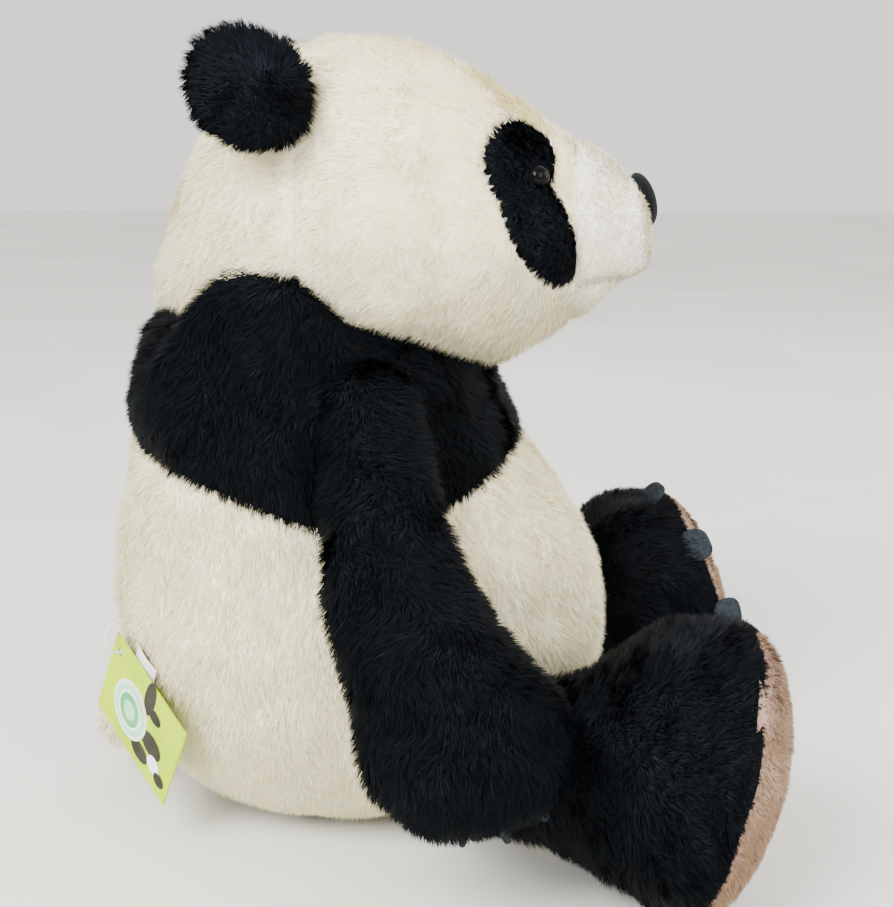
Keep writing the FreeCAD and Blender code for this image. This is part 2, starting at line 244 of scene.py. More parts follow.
def foot_axes(degrees, tilt):
    """Across, up and ahead for a foot that points this way, its top leaning forward."""
    ahead, lean = heading(degrees), math.radians(tilt)
    across = np.cross((0, 0, 1), ahead)
    upright = np.array([0, 0, math.cos(lean)]) + ahead * math.sin(lean)
    return across, upright, np.cross(upright, across) * -1.0


def leg_rows(rings):
    rows = []
    for x, y, z, half_width, half_height, degrees, tilt in rings:
        across, upright, _ = foot_axes(degrees, tilt)
        rows.append(row((x, y, z), across, upright, half_width, half_height, 2.1))
    return rows


def dome(rows, depth, at_end, steps=7):
    """Rows that round off one end of a form."""
    rows = np.asarray(rows, float)
    edge, inner = (rows[-1], rows[-2]) if at_end else (rows[0], rows[1])
    out = unit(edge[:3] - inner[:3])
    more = []
    for step in range(1, steps + 1):
        angle = math.pi / 2 * step / (steps + 0.4)
        extra = edge.copy()
        extra[:3] = edge[:3] + out * depth * math.sin(angle)
        extra[9:11] = edge[9:11] * math.cos(angle)
        more.append(extra)
    return np.array(more if at_end else more[::-1])


def outline(rows, around):
    """The points of each ring."""
    rows = np.asarray(rows, float)
    angle = np.linspace(0, 2 * math.pi, around, endpoint=False)
    c, s = np.cos(angle), np.sin(angle)
    power = 2.0 / rows[:, 11][:, None]
    along_u = np.sign(c) * np.abs(c) ** power * rows[:, 9][:, None]
    along_v = np.sign(s) * np.abs(s) ** power * rows[:, 10][:, None]
    along_u = along_u * (1 - rows[:, 12][:, None] * s)
    return (rows[:, None, 0:3] + along_u[..., None] * rows[:, None, 3:6]
            + along_v[..., None] * rows[:, None, 6:9])


def form_mesh(rows, along, around, start_dome, end_dome):
    """Points and faces of a closed rounded form."""
    body = curve_through(rows, along)
    parts = [body]
    if start_dome:
        parts.insert(0, dome(body, start_dome, False))
    if end_dome:
        parts.append(dome(body, end_dome, True))
    rows = np.concatenate(parts)
    grid = outline(rows, around)
    count = len(grid)
    points = grid.reshape(-1, 3)
    faces = []
    for i in range(count - 1):
        for j in range(around):
            k = (j + 1) % around
            faces.append((i * around + j, i * around + k,
                          (i + 1) * around + k, (i + 1) * around + j))
    first, last = len(points), len(points) + 1
    points = np.concatenate([points, [grid[0].mean(0)], [grid[-1].mean(0)]])
    base = (count - 1) * around
    for j in range(around):
        k = (j + 1) % around
        faces.append((first, k, j))
        faces.append((last, base + j, base + k))
    return points, faces


# ---- mesh helpers ----
def new_object(name, points, faces, smooth=True):
    mesh = bpy.data.meshes.new(name)
    mesh.from_pydata((np.asarray(points) * MM).tolist(), [], [list(f) for f in faces])
    mesh.update()
    mesh.polygons.foreach_set("use_smooth", [smooth] * len(mesh.polygons))
    piece = bpy.data.objects.new(name, mesh)
    bpy.context.scene.collection.objects.link(piece)
    return piece


def outward(bm):
    bmesh.ops.recalc_face_normals(bm, faces=bm.faces)


def vertex_normals(points, faces):
    normals = np.zeros_like(points)
    for face in faces:
        corner = points[list(face)]
        flat = np.cross(corner[1] - corner[0], corner[-1] - corner[0])
        for index in face:
            normals[index] += flat
    return unit(normals)


def cut_piece(name, points, faces, zone, planes=()):
    """The part of a form where zone(middle of face) is true, cut cleanly along planes."""
    mesh = bpy.data.meshes.new("cutting")
    mesh.from_pydata(points.tolist(), [], [list(f) for f in faces])
    bm = bmesh.new()
    bm.from_mesh(mesh)
    bpy.data.meshes.remove(mesh)
    outward(bm)
    for place, normal in planes:
        geometry = bm.verts[:] + bm.edges[:] + bm.faces[:]
        bmesh.ops.bisect_plane(bm, geom=geometry, dist=0.05, plane_co=place,
                               plane_no=normal)
    middles = np.array([f.calc_center_median() for f in bm.faces])
    keep = zone(middles)
    drop = [f for f, kept in zip(bm.faces, keep) if not kept]
    bmesh.ops.delete(bm, geom=drop, context="FACES")
    bmesh.ops.scale(bm, vec=(MM, MM, MM), verts=bm.verts)
    result = bpy.data.meshes.new(name)
    bm.to_mesh(result)
    bm.free()
    result.polygons.foreach_set("use_smooth", [True] * len(result.polygons))
    result.update()
    piece = bpy.data.objects.new(name, result)
    bpy.context.scene.collection.objects.link(piece)
    return piece


def thicken(piece, millimetres):
    """Give a single layer of cloth its thickness, inwards."""
    solid = piece.modifiers.new("cloth", "SOLIDIFY")
    solid.thickness = millimetres * MM
    solid.offset = -1.0


def inset(rows, depth):
    """The same rings drawn in all round, with both ends pulled in as well."""
    rows = np.array(rows, float)
    rows[:, 9:11] = np.maximum(rows[:, 9:11] - depth, 2.0)
    for end, inner in ((0, 1), (-1, -2)):
        rows[end, :3] += unit(rows[inner, :3] - rows[end, :3]) * depth
    return rows


def filler(name, rows, depth, domes, body, node, fill, fit=None, flip=np.copy):
    """The stuffing of a form, as it fills the cover from inside."""
    points, faces = form_mesh(inset(rows, depth), 60, 72, *domes)
    points[:, 2] = np.maximum(points[:, 2], 4.0)
    if fit is not None:
        points = fit(points)
    if flip is mirror_x:
        faces = reversed_faces(faces)
    piece = new_object(name, flip(points), faces)
    piece.data.materials.append(FILLING)
    place(piece, body, node, slot="fibre_fill", fill=fill)


def place(piece, body, *nodes, slot=None, fill=None):
    """Attach a piece to the body it rides on and hide the CAD nodes it stands for. The fill
    argument is not used.
    """
    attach(piece, body)
    if nodes:
        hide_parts(*nodes)
    return piece


# ---- materials ----
def linear(red, green, blue):
    """A screen colour, 0 to 255, as scene light."""
    def one(value):
        value /= 255.0
        return value / 12.92 if value <= 0.04045 else ((value + 0.055) / 1.055) ** 2.4
    return (one(red), one(green), one(blue), 1.0)


def shader(name, colour, roughness=0.8, sheen=0.0, sheen_tint=None, specular=0.5, coat=0.0):
    material = bpy.data.materials.new(name)
    material.use_nodes = True
    bsdf = material.node_tree.nodes["Principled BSDF"]
    bsdf.inputs["Base Color"].default_value = colour
    bsdf.inputs["Roughness"].default_value = roughness
    bsdf.inputs["Specular IOR Level"].default_value = specular
    bsdf.inputs["Sheen Weight"].default_value = sheen
    bsdf.inputs["Sheen Roughness"].default_value = 0.4
    bsdf.inputs["Coat Weight"].default_value = coat
    if sheen_tint:
        bsdf.inputs["Sheen Tint"].default_value = sheen_tint
    return material


def textured(name, dark, light, scale, bump_scale, bump, **settings):
    """A cloth whose colour wanders between two tones, with a fine raised grain."""
    material = shader(name, light, **settings)
    tree = material.node_tree
    bsdf = tree.nodes["Principled BSDF"]
    place_node = tree.nodes.new("ShaderNodeTexCoord")
    tone = tree.nodes.new("ShaderNodeTexNoise")
    tone.inputs["Scale"].default_value = scale
    tone.inputs["Detail"].default_value = 5.0
    ramp = tree.nodes.new("ShaderNodeValToRGB")
    ramp.color_ramp.elements[0].position = 0.35
    ramp.color_ramp.elements[0].color = dark
    ramp.color_ramp.elements[1].position = 0.65
    ramp.color_ramp.elements[1].color = light
    grain = tree.nodes.new("ShaderNodeTexNoise")
    grain.inputs["Scale"].default_value = bump_scale
    grain.inputs["Detail"].default_value = 3.0
    raised = tree.nodes.new("ShaderNodeBump")
    raised.inputs["Strength"].default_value = bump
    raised.inputs["Distance"].default_value = 0.0006
    link = tree.links.new
    link(place_node.outputs["Object"], tone.inputs["Vector"])
    link(place_node.outputs["Object"], grain.inputs["Vector"])
    link(tone.outputs["Fac"], ramp.inputs["Fac"])
    link(ramp.outputs["Color"], bsdf.inputs["Base Color"])
    link(grain.outputs["Fac"], raised.inputs["Height"])
    link(raised.outputs["Normal"], bsdf.inputs["Normal"])
    return material


def tints(name, colours, **settings):
    return [shader(f"{name}_{index}", colour, **settings)
            for index, colour in enumerate(colours)]


CREAM_TINTS = tints("cream_pile", [
    linear(255, 249, 214), linear(254, 246, 205), linear(253, 243, 198),
    linear(249, 237, 188), linear(255, 251, 226)], roughness=0.9, specular=0.2)
WHITE_TINTS = tints("white_pile", [
    linear(255, 250, 226), linear(254, 248, 219), linear(252, 244, 211),
    linear(255, 252, 235)], roughness=0.9, specular=0.2)
BLACK_TINTS = tints("black_pile", [
    linear(4, 7, 10), linear(6, 10, 14), linear(10, 14, 19), linear(2, 3, 5),
    linear(17, 22, 29)], roughness=0.55, specular=0.055)
TAN_TINTS = tints("tan_pile", [
    linear(158, 128, 102), linear(146, 116, 91), linear(131, 102, 80),
    linear(174, 146, 120)], roughness=0.85, specular=0.12)
CREAM_SKIN = textured("cream_backing", linear(246, 238, 206), linear(250, 244, 218), 60, 900,
                      0.4, roughness=0.9)
WHITE_SKIN = textured("white_backing", linear(246, 243, 232), linear(250, 248, 241), 60, 900,
                      0.4, roughness=0.9)
BLACK_SKIN = textured("black_backing", linear(3, 4, 6), linear(8, 10, 13), 60, 900, 0.4,
                      roughness=0.9, specular=0.05)
TAN_SKIN = textured("tan_backing", linear(128, 101, 87), linear(152, 125, 110), 70, 900, 0.4,
                    roughness=0.85)
FILLING = textured("fibre_fill", linear(222, 222, 218), linear(244, 244, 240), 90, 400, 0.8,
                   roughness=0.95)
FELT = textured("grey_felt", linear(28, 34, 40), linear(45, 52, 58), 500, 1500, 0.8,
                roughness=0.9, specular=0.15)
NOSE_CLOTH = textured("nose_cloth", linear(5, 8, 10), linear(14, 18, 21), 260, 2400, 0.35,
                      roughness=0.65, specular=0.06)
EYE_GLOSS = textured("eye_gloss", linear(2, 2, 2), linear(8, 6, 5), 180, 30, 0.0,
                     roughness=0.14, specular=0.1)
NYLON = textured("nylon", linear(205, 205, 200), linear(228, 228, 224), 300, 900, 0.2,
                 roughness=0.35)
SATIN = textured("label_satin", linear(222, 224, 226), linear(242, 243, 244), 900, 2600, 0.5,
                 roughness=0.4, sheen=0.3)
THREAD = textured("thread", linear(24, 24, 26), linear(48, 48, 50), 900, 2600, 0.6,
                  roughness=0.8)
CARD = textured("tag_card", linear(172, 204, 0), linear(188, 218, 0), 40, 1800, 0.08,
                roughness=0.7, specular=0.04)
STICKER = textured("sticker_paper", linear(214, 230, 212), linear(232, 242, 230), 60, 1800,
                   0.05, roughness=0.6, specular=0.12)
GREY_INK = textured("grey_ink", linear(40, 40, 32), linear(58, 58, 48), 90, 1800, 0.05,
                    roughness=0.6, specular=0.1)
WHITE_INK = textured("white_ink", linear(238, 242, 236), linear(248, 250, 246), 90, 1800,
                     0.05, roughness=0.6, specular=0.12)
GREEN_INK = textured("green_ink", linear(70, 160, 100), linear(98, 184, 122), 90, 1800,
                     0.05, roughness=0.6, specular=0.12)
PALE_GREEN_INK = textured("pale_green_ink", linear(146, 214, 168), linear(176, 228, 190), 90,
                          1800, 0.05, roughness=0.6, specular=0.12)
PELLET_CLOTH = textured("pellet_cloth", linear(205, 205, 200), linear(232, 232, 228), 200,
                        700, 0.6, roughness=0.9)


# ---- pile: short strands of mesh ----
def surface_samples(piece, density, rng):
    """Random places on a piece: points in millimetres and their smooth normals."""
    mesh = piece.data
    mesh.calc_loop_triangles()
    points = np.empty(len(mesh.vertices) * 3)
    mesh.vertices.foreach_get("co", points)
    points = points.reshape(-1, 3) / MM
    normals = np.empty(len(mesh.vertices) * 3)
    mesh.vertices.foreach_get("normal", normals)
    normals = normals.reshape(-1, 3)
    corner = np.empty(len(mesh.loop_triangles) * 3, int)
    mesh.loop_triangles.foreach_get("vertices", corner)
    corner = corner.reshape(-1, 3)
    a, b, c = (points[corner[:, k]] for k in range(3))
    area = np.linalg.norm(np.cross(b - a, c - a), axis=1) / 2
    count = int(area.sum() * density)
    chosen = rng.choice(len(corner), count, p=area / area.sum())
    r1, r2 = np.sqrt(rng.random(count)), rng.random(count)
    weights = np.stack([1 - r1, r1 * (1 - r2), r1 * r2], 1)
    place_at = sum(points[corner[chosen, k]] * weights[:, k:k + 1] for k in range(3))
    normal = unit(sum(normals[corner[chosen, k]] * weights[:, k:k + 1] for k in range(3)))
    return place_at, normal


def pile(name, piece, length, nap, materials, seed, density=1.3, width=0.55, lean=1.3,
         clump=2.6, gather=0.4, keep=None, longer=None, ruffle=1.0):
    """Grow strands on a piece. nap(points) is the way the pile lies; lean is how flat."""
    rng = np.random.default_rng(seed)
    roots, normals = surface_samples(piece, density * PILE_SHARE, rng)
    if keep is not None:
        kept = keep(roots)
        roots, normals = roots[kept], normals[kept]
    count = len(roots)
    size = length * (1 + 0.22 * rng.normal(size=count).clip(-1.5, 1.5)
                     + 0.10 * waves(roots, 28, seed + 1))
    if longer is not None:
        size = size * longer(roots)
    way = nap(roots)
    way = unit(way - normals * np.sum(way * normals, 1, keepdims=True))
    side = np.cross(normals, way)
    turn = ruffle * (0.55 * waves(roots, 36, seed + 2) + 0.35 * waves(roots, 11, seed + 3))
    turn = turn + 0.30 * rng.normal(size=count)
    way = way * np.cos(turn)[:, None] + side * np.sin(turn)[:, None]
    flat = lean * (1 + 0.25 * ruffle * waves(roots, 20, seed + 4)
                   + 0.2 * rng.normal(size=count))
    flat = np.clip(flat, 0.1, 1.9)[:, None]
    tips = roots + unit(normals + way * flat) * size[:, None]
    leaders = rng.choice(count, max(1, int(count / (clump * clump * density * PILE_SHARE))),
                         replace=False)
    tree = KDTree(len(leaders))
    for index, leader in enumerate(leaders):
        tree.insert(roots[leader], index)
    tree.balance()
    nearest = leaders[np.array([tree.find(p)[1] for p in roots])]
    pull = gather * ruffle * (0.7 + 0.6 * rng.random(count))[:, None]
    tips = tips + (tips[nearest] - tips) * pull
    tips[:, 2] = np.maximum(tips[:, 2], 0.3)
    across = unit(np.cross(tips - roots, normals) + 0.5 * rng.normal(size=(count, 3)))
    wide = (width * (0.75 + 0.5 * rng.random(count)) / 2 / math.sqrt(PILE_SHARE))[:, None]
    points = np.stack([roots - across * wide, roots + across * wide, tips], 1)
    corners = np.arange(count * 3)
    starts = np.arange(count) * 3
    mesh = bpy.data.meshes.new(name)
    mesh.vertices.add(count * 3)
    mesh.vertices.foreach_set("co", (points * MM).reshape(-1))
    mesh.loops.add(len(corners))
    mesh.loops.foreach_set("vertex_index", corners)
    mesh.polygons.add(len(starts))
    mesh.polygons.foreach_set("loop_start", starts)
    for material in materials:
        mesh.materials.append(material)
    tone = (waves(roots, 40, seed + 5) + 0.6 * waves(roots, 9, seed + 6)
            + rng.normal(size=count)) * 0.9 + (len(materials) - 1) / 2
    tone = np.clip(np.round(tone), 0, len(materials) - 1).astype(int)
    mesh.polygons.foreach_set("material_index", tone)
    mesh.polygons.foreach_set("use_smooth", [True] * len(starts))
    mesh.update(calc_edges=True)
    soft = unit(normals + 0.35 * way + 0.22 * rng.normal(size=(count, 3)))
    mesh.normals_split_custom_set_from_vertices(np.repeat(soft, 3, 0))
    strands = bpy.data.objects.new(name, mesh)
    bpy.context.scene.collection.objects.link(strands)
    return strands


def down(points):
    return np.tile([0.0, 0.0, -1.0], (len(points), 1))


# ---- torso ----
def groove(distance, depth, width):
    """How far cloth is pulled in beside a seam at this distance."""
    return -depth * np.exp(-(distance / width) ** 2)


def yoke_height(points):
    """How far a point is above the V-shaped seam."""
    y, z = points[:, 1] - YOKE_LOW[0], points[:, 2] - YOKE_LOW[1]
    back = (z - YOKE_BACK_SLOPE * y) / math.hypot(1, YOKE_BACK_SLOPE)
    front = (z + YOKE_FRONT_SLOPE * y) / math.hypot(1, YOKE_FRONT_SLOPE)
    return np.minimum(back, front)


def under_ball(points, limit):
    """Draw the top of the torso in to a ball about the neck, this far from its middle."""
    reach = points - NECK
    far = np.linalg.norm(reach, axis=1)
    shrink = np.where(points[:, 2] > 190, np.minimum(limit / far, 1.0), 1.0)
    return NECK + reach * shrink[:, None]


def torso_points():
    points, faces = form_mesh(torso_rows(), 110, 150, 0, 7)
    normals = vertex_normals(points, faces)
    high = yoke_height(points)
    shift = 1.3 * waves(points, 75, 11) + 0.5 * waves(points, 30, 12)
    shift = shift * np.clip(points[:, 2] / 25, 0, 1)
    shift = shift + groove(high, 2.4, 4.5)
    shift = shift + 2.0 * np.exp(-((high - 16) / 12) ** 2)
    centre_seam = np.abs(points[:, 0])
    rear = points[:, 1] > 20
    shift = shift + np.where(rear, groove(centre_seam, 1.6, 3.5), 0)
    points = points + normals * shift[:, None]
    middle, wide, height = HUMP
    rise = height * np.exp(-((points[:, 1] - middle) / wide) ** 4)
    rise = rise * np.clip((np.abs(points[:, 0]) - 38) / 24, 0, 1) ** 2
    points = under_ball(points, NECK_BALL - 1.0 + rise)
    points[:, 2] = np.maximum(points[:, 2], 0.6)
    return points, faces


def inside_head(points, margin=0.0):
    """Whether each point lies inside the head's rings, grown by the margin."""
    rows = np.array([r[:4] for r in HEAD_RINGS], float)[::-1]
    y = points[:, 1]
    top, bottom, half = (np.interp(y, rows[:, 0], rows[:, k]) for k in (1, 2, 3))
    middle, tall = (top + bottom) / 2, (top - bottom) / 2
    inside = (points[:, 0] / (half + margin)) ** 2
    inside = inside + ((points[:, 2] - middle) / (tall + margin)) ** 2
    return (inside < 1) & (y < rows[-1, 0]) & (y > rows[0, 0])


def make_torso():
    points, faces = torso_points()
    low = (0, YOKE_LOW[0], YOKE_LOW[1])
    planes = [(low, (0, -YOKE_BACK_SLOPE, 1)), (low, (0, YOKE_FRONT_SLOPE, 1))]
    cream = cut_piece("torso_skin", points, faces, lambda p: yoke_height(p) < 0, planes)
    black = cut_piece("yoke_skin", points, faces, lambda p: yoke_height(p) >= 0, planes)
    cream.data.materials.append(CREAM_SKIN)
    black.data.materials.append(BLACK_SKIN)
    cream_pile = pile("torso_pile", cream, 4.2, down, CREAM_TINTS, 101, density=1.75,
                      width=0.42, ruffle=0.6, keep=lambda p: p[:, 2] > 3)
    black_pile = pile("yoke_pile", black, 5.2, down, BLACK_TINTS, 102, density=1.8,
                      keep=lambda p: ~inside_head(p, -10))
    thicken(cream, CLOTH)
    thicken(black, CLOTH)
    place(cream, "torso", "torso_cover", slot="cream_plush", fill=0.85)
    place(black, "torso", "yoke_cover", slot="black_plush", fill=0.8)
    place(cream_pile, "torso", slot="cream_plush")
    place(black_pile, "torso", slot="black_plush")
    filler("torso_filling", torso_rows()[2:], 6.0, (0, 4), "torso", "torso_stuffing", 0.8,
           fit=lambda p: under_ball(p, NECK_BALL - 7.0))


# ---- head ----
def patch_distance(points):
    """Below 1 inside the bean-shaped eye patch, seen from the side."""
    nearest = np.full(len(points), 9.0)
    for middle_y, middle_z, half_length, half_width, degrees in PATCH_LOBES:
        y, z = points[:, 1] - middle_y, points[:, 2] - middle_z
        tilt = math.radians(degrees)
        along = -y * math.sin(tilt) - z * math.cos(tilt)
        across = y * math.cos(tilt) - z * math.sin(tilt)
        nearest = np.minimum(nearest, np.hypot(along / half_length, across / half_width))
    return nearest


def mouth_height(points):
    return points[:, 2] - MOUTH_Z - MOUTH_RISE * (MUZZLE_SEAM_Y - points[:, 1])


def over_ball(points, radius):
    """Lift the underside of the head to the ball about the neck that it sits on."""
    flat = np.hypot(points[:, 0] - NECK[0], points[:, 1] - NECK[1])
    bowl = NECK[2] + np.sqrt(np.maximum(radius**2 - flat**2, 0.0))
    lifted = points.copy()
    lifted[:, 2] = np.where(flat < radius, np.maximum(points[:, 2], bowl), points[:, 2])
    return lifted


def head_points():
    points, faces = form_mesh(head_rows(), 150, 200, 5, 8)
    normals = vertex_normals(points, faces)
    y = points[:, 1]
    shift = 1.0 * waves(points, 60, 21) + 0.4 * waves(points, 26, 22)
    shift = shift + groove(y - BACK_SEAM_Y, 1.8, 3.0)
    shift = shift + groove(y - MUZZLE_SEAM_Y, 0.9, 3.0)
    ahead = np.clip((MUZZLE_SEAM_Y - y) / 8, 0, 1)
    shift = shift + ahead * groove(mouth_height(points), 3.4, 3.0)
    below = np.clip(-mouth_height(points) / 4, 0, 1)
    shift = shift - 4.0 * below * np.clip((-104 - y) / 14, 0, 1)
    edge = patch_distance(points)
    on_face = (np.abs(points[:, 0]) > PATCH_INNER) & (y < -50)
    shift = shift + np.where(on_face, 1.4 * np.clip((1 - edge) / 0.12, 0, 1), 0)
    shift = shift - np.where(on_face, 1.0 * np.exp(-((edge - 1.05) / 0.06) ** 2), 0)
    points = points + normals * shift[:, None]
    return over_ball(points, NECK_BALL + 1.0), faces


def head_nap(points):
    """Back from the muzzle, and down the cheeks and the back of the head."""
    way = np.tile([0.0, 0.85, -0.5], (len(points), 1))
    way[:, 2] -= 0.5 * np.clip(points[:, 1] / 60, 0, 1)
    return way


def near_back_seam(points):
    """The pile is caught short along the seam behind the ears."""
    return 1 - 0.65 * np.exp(-((points[:, 1] - BACK_SEAM_Y) / 2.4) ** 2)


def make_head():
    points, faces = head_points()
    filler("head_filling", head_rows(), 6.0, (3, 4), "head", "head_stuffing", 0.85,
           fit=lambda p: over_ball(p, NECK_BALL + 7.0))
    planes = [((0, BACK_SEAM_Y, 0), (0, 1, 0)), ((0, MUZZLE_SEAM_Y, 0), (0, 1, 0)),
              ((0, MUZZLE_SEAM_Y, MOUTH_Z), (0, MOUTH_RISE, 1))]

    def back(p):
        return p[:, 1] > BACK_SEAM_Y

    def muzzle(p):
        return (p[:, 1] < MUZZLE_SEAM_Y) & (mouth_height(p) > 0)

    def chin(p):
        return (p[:, 1] < MUZZLE_SEAM_Y) & (mouth_height(p) <= 0)

    def middle(p):
        return ~back(p) & (p[:, 1] > MUZZLE_SEAM_Y)

    def patch(p, side):
        return middle(p) & (patch_distance(p) < 1) & (p[:, 0] * side > PATCH_INNER)

    zones = {
        "face": (lambda p: middle(p) & ~patch(p, 1) & ~patch(p, -1), "face_cover", True),
        "back_head": (back, "back_head_cover", True),
        "muzzle": (muzzle, "muzzle_cover", False),
        "chin": (chin, "chin_cover", False),
        "eye_patch_right": (lambda p: patch(p, -1), "eye_patch_right", None),
        "eye_patch_left": (lambda p: patch(p, 1), "eye_patch_left", None),
    }
    kinds = {
        True: (CREAM_SKIN, CREAM_TINTS, 4.2, "cream_plush", 1.9),
        False: (WHITE_SKIN, WHITE_TINTS, 2.3, "white_plush", 3.0),
        None: (BLACK_SKIN, BLACK_TINTS, 3.2, "black_plush", 3.0),
    }
    seed = 200
    for name, (zone, node, cream) in zones.items():
        seed += 10
        backing, colours, length, slot, density = kinds[cream]
        skin = cut_piece(name + "_skin", points, faces, zone, planes)
        skin.data.materials.append(backing)

        def clear(p, cream=cream):
            outside = np.linalg.norm(p - NECK, axis=1) > NECK_BALL + 2.0
            outside |= ~inside_head(p, -9)
            if cream:
                outside &= (patch_distance(p) > 1.05) | (np.abs(p[:, 0]) < PATCH_INNER)
            return outside

        strands = pile(name + "_pile", skin, length, head_nap, colours, seed,
                       density=density, keep=clear, width=0.55 if cream is None else 0.4,
                       ruffle=1.0 if cream is None else 0.6, longer=near_back_seam)
        thicken(skin, CLOTH)
        place(skin, "head", node, slot=slot, fill=0.85)
        place(strands, "head", slot=slot)


def ball(name, centre, radii, axes=None, rings=48):
    """A smooth ball or flattened ball; axes are its three directions."""
    axes = np.eye(3) if axes is None else np.asarray(axes, float)
    points, faces = [], []
    for i in range(rings + 1):
        angle = math.pi * i / rings
        for j in range(2 * rings):
            turn = math.pi * j / rings
            local = (math.sin(angle) * math.cos(turn), math.sin(angle) * math.sin(turn),
                     math.cos(angle))
            points.append(centre + (np.array(local) * radii) @ axes)
    wide = 2 * rings
    for i in range(rings):
        for j in range(wide):
            k = (j + 1) % wide
            faces.append((i * wide + j, (i + 1) * wide + j, (i + 1) * wide + k, i * wide + k))
    piece = new_object(name, points, faces)
    bm = bmesh.new()
    bm.from_mesh(piece.data)
    bmesh.ops.remove_doubles(bm, verts=bm.verts, dist=1e-7)
    outward(bm)
    bm.to_mesh(piece.data)
    bm.free()
    piece.data.polygons.foreach_set("use_smooth", [True] * len(piece.data.polygons))
    return piece


def make_face_trim():
    for side, sign in (("right", -1), ("left", 1)):
        low, high = (np.array(corner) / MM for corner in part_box("eye_" + side))
        centre = np.array([low[0] if sign < 0 else high[0], low[1], 0.0])
        centre[2] = (low[2] + high[2]) / 2
        centre = centre + np.array([-sign * 10.0, 5.6, -0.6])
        eye = ball("eye_ball_" + side, centre, (EYE_RADIUS, EYE_RADIUS, EYE_RADIUS))
        eye.data.materials.append(EYE_GLOSS)
        place(eye, "head", "eye_" + side, slot="eye_gloss")
    nose = ball("nose_pad", NOSE_AT, (14.2, 5.6, 11.6),
                axes=[(1, 0, 0), (0, 0.95, -0.30), (0, 0.30, 0.95)])
    nose.data.materials.append(NOSE_CLOTH)
    place(nose, "head", "nose", slot="nose_cloth")


def make_mouth():
    """Short stitches of dark thread along the mouth, pulled down into the pile."""
    rows = np.array([r[:4] for r in HEAD_RINGS], float)[::-1]
    points, faces = [], []
    for sign in (-1, 1):
        for step in range(STITCHES):
            y = MUZZLE_SEAM_Y - 1.5 - step * STITCH_GAP
            top, bottom, half = (np.interp(y, rows[:, 0], rows[:, k]) for k in (1, 2, 3))
            z = MOUTH_Z + MOUTH_RISE * (MUZZLE_SEAM_Y - y)
            drop = (z - (top + bottom) / 2) / ((top - bottom) / 2)
            sunk = 1.2 if step == 0 else 7.0
            x = sign * (half * math.sqrt(max(0.0, 1 - drop * drop)) - sunk)
            start = len(points)
            for end in (-0.8, 0.8):
                for turn in range(6):
                    angle = math.pi * turn / 3
                    points.append((x + 0.45 * math.cos(angle), y + end,
                                   z + 0.45 * math.sin(angle)))
            for turn in range(6):
                k = (turn + 1) % 6
                faces.append((start + turn, start + k, start + 6 + k, start + 6 + turn))
            faces.append(tuple(start + turn for turn in reversed(range(6))))
            faces.append(tuple(start + 6 + turn for turn in range(6)))
    stitches = new_object("mouth_stitches", points, faces)
    stitches.data.materials.append(THREAD)
    place(stitches, "head", "mouth_stitching", slot="thread")


# ---- ears ----
def make_ears():
    along = unit(EAR_ALONG)
    out = np.array([-0.38, 0.90, 0.20])
    out = unit(out - along * (out @ along))
    face_way = np.cross(out, along)
    centre = EAR_ROOT + out * 25.0
    for side, sign in (("right", -1), ("left", 1)):
        def across(v):
            return v if sign < 0 else mirror_x(v)

        middle = across(centre)
        for part, way in (("front", 1), ("back", -1)):
            axes = np.array([across(out), across(along), across(face_way)])
            whole = ball("ear_" + part + "_skin_" + side, middle, (23.5, 24.0, 6.0), axes, 30)
            bm = bmesh.new()
            bm.from_mesh(whole.data)
            normal = Vector(across(face_way) * -way)
            geometry = bm.verts[:] + bm.edges[:] + bm.faces[:]
            bmesh.ops.bisect_plane(bm, geom=geometry, dist=1e-6, clear_outer=True,
                                   plane_co=Vector(middle * MM), plane_no=normal)
            bm.to_mesh(whole.data)
            bm.free()
            whole.data.materials.append(BLACK_SKIN)

            def nap(p, middle=middle):
                return unit(p - middle) + across(out) * 0.8 - np.array([0, 0, 0.35])

            def longer(p, middle=middle):
                return 1.0 + 0.6 * np.clip(np.linalg.norm(p - middle, axis=1) / 25, 0, 1) ** 3

            strands = pile("ear_" + part + "_pile_" + side, whole, 3.4, nap, BLACK_TINTS,
                           310 + way + 5 * sign, density=3.4, width=0.42, lean=1.0,
                           longer=longer)
            thicken(whole, 1.2)
            place(whole, "ear_" + side, "ear_" + part + "_" + side, slot="black_plush",
                  fill=0.3)
            place(strands, "ear_" + side, slot="black_plush")


# ---- arms and legs ----
def arm_nap(points):
    return np.tile([0.0, -0.25, -1.0], (len(points), 1))


def arm_points():
    points, faces = form_mesh(arm_rows(), 90, 90, 15, 13)
    normals = vertex_normals(points, faces)
    shift = 1.1 * waves(points, 50, 31) + 0.5 * waves(points, 22, 32)
    points = points + normals * shift[:, None]
    return points, faces


def inside_torso(points, margin=0.0):
    """Whether each point lies inside the torso's rings, grown by the margin."""
    rows = np.array([r[:4] for r in TORSO_RINGS], float)
    z = points[:, 2]
    front, rear, half = (np.interp(z, rows[:, 0], rows[:, k]) for k in (1, 2, 3))
    middle, deep = (front + rear) / 2, (rear - front) / 2
    inside = (points[:, 0] / (half + margin)) ** 2
    inside = inside + ((points[:, 1] - middle) / (deep + margin)) ** 2
    return inside < 1


